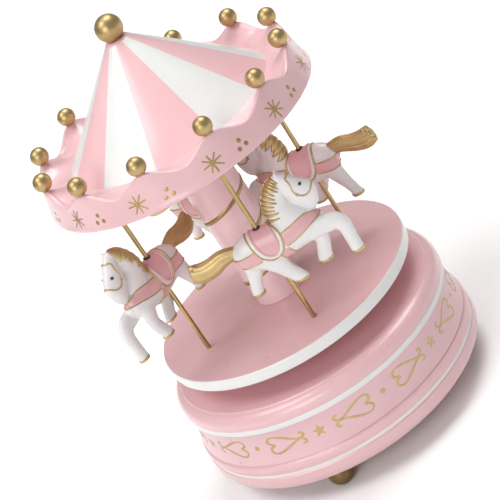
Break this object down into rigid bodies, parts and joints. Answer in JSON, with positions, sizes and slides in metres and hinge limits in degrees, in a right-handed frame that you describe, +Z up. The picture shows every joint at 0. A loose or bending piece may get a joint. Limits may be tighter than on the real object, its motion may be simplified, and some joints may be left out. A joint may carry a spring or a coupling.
{
  "type": "carousel music box",
  "caption": "Wind-up music box in the form of a carousel: horses on poles turn under a striped conical canopy with gilt balls, on a round ornamented base.",
  "frame": {"origin": "on the table under the middle of the base", "axes": "+Z up along the carousel's axis, -Y towards the side seen in the picture, +X to that side's right"},
  "size_m": [0.1133, 0.1116, 0.1761],
  "materials": {
    "pink_lacquer": "pink gloss lacquer over turned wood",
    "band_print": "printed paper-like strip with gold ornament",
    "roof_stripes": "pink and white lacquered stripes",
    "raw_board": "unpainted board",
    "gilt_ball": "gold lacquer",
    "gilt_pole": "polished",
    "horse_white": "white casting with gold and pink painted tack",
    "hub_wood": "stained",
    "screw_steel": "zinc plated",
    "spring_steel": "bright",
    "cast_bed": "bright casting",
    "brass": "turned",
    "nylon": "natural",
    "fly_plastic": "moulded"
  },
  "bodies": {
    "base": {"base_drum": "pink_lacquer", "ornament_band": "band_print", "base_plate": "raw_board", "plate_screw_posts": "raw_board", "plate_screws": "screw_steel", "ball_foot_front": "gilt_ball", "ball_foot_right": "gilt_ball", "ball_foot_back": "gilt_ball", "bed_plate": "cast_bed", "movement_screws": "screw_steel", "spring_barrel": "spring_steel", "mainspring": "spring_steel", "comb": "spring_steel", "comb_screws": "screw_steel", "inner_bracket": "brass", "outer_bracket": "brass", "governor_bracket": "brass", "shaft_bush": "brass", "thrust_washer": "nylon"},
    "carousel": {"winding_arbor": "spring_steel", "crown_wheel": "brass", "drive_hub": "hub_wood", "hub_screws": "screw_steel", "arbor_nut": "screw_steel", "turntable": "pink_lacquer", "column": "pink_lacquer", "pole_right": "gilt_pole", "pole_back": "gilt_pole", "pole_left": "gilt_pole", "pole_front": "gilt_pole", "canopy_ceiling": "pink_lacquer", "canopy_brim": "pink_lacquer", "canopy_roof": "roof_stripes", "brim_balls": "gilt_ball", "finial": "gilt_ball"},
    "cylinder": {"tune_cylinder": "brass", "cylinder_arbor": "spring_steel", "cylinder_pinion": "brass", "cylinder_gear": "brass"},
    "second_wheel": {"second_arbor": "spring_steel", "second_pinion": "brass", "second_wheel": "brass"},
    "fly": {"fly_arbor": "spring_steel", "fly_pinion": "brass", "fly_vane": "fly_plastic"},
    "horse_right": {"horse_right": "horse_white"},
    "horse_back": {"horse_back": "horse_white"},
    "horse_left": {"horse_left": "horse_white"},
    "horse_front": {"horse_front": "horse_white"}
  },
  "joints": [
    {"name": "carousel_spin", "type": "hinge", "parent": "base", "child": "carousel", "pos_m": [0, 0, 0.0441], "axis": [0, 0, 1], "continuous": true},
    {"name": "cylinder_spin", "type": "hinge", "parent": "base", "child": "cylinder", "pos_m": [-0.0234, 0, 0.0218], "axis": [1, 0, 0], "continuous": true},
    {"name": "second_wheel_spin", "type": "hinge", "parent": "base", "child": "second_wheel", "pos_m": [-0.0334, 0.01, 0.0218], "axis": [1, 0, 0], "continuous": true},
    {"name": "fly_spin", "type": "hinge", "parent": "base", "child": "fly", "pos_m": [-0.027, 0.01674, 0.01614], "axis": [1, 0, 0], "continuous": true},
    {"name": "horse_right_swivel", "type": "hinge", "parent": "carousel", "child": "horse_right", "pos_m": [0.03268, 0.00937, 0.088], "axis": [0, 0, 1], "range_deg": [-25, 1]},
    {"name": "horse_back_swivel", "type": "hinge", "parent": "carousel", "child": "horse_back", "pos_m": [-0.00822, 0.03299, 0.088], "axis": [0, 0, 1], "range_deg": [-2, 2]},
    {"name": "horse_left_swivel", "type": "hinge", "parent": "carousel", "child": "horse_left", "pos_m": [-0.03284, -0.0088, 0.088], "axis": [0, 0, 1], "range_deg": [-8, 25]},
    {"name": "horse_front_swivel", "type": "hinge", "parent": "carousel", "child": "horse_front", "pos_m": [0.00414, -0.03375, 0.088], "axis": [0, 0, 1], "range_deg": [-40, 45]}
  ],
  "couplings": [
    {"joint": "cylinder_spin", "follows": "carousel_spin", "ratio": 4},
    {"joint": "second_wheel_spin", "follows": "carousel_spin", "ratio": -16},
    {"joint": "fly_spin", "follows": "carousel_spin", "ratio": 72}
  ]
}
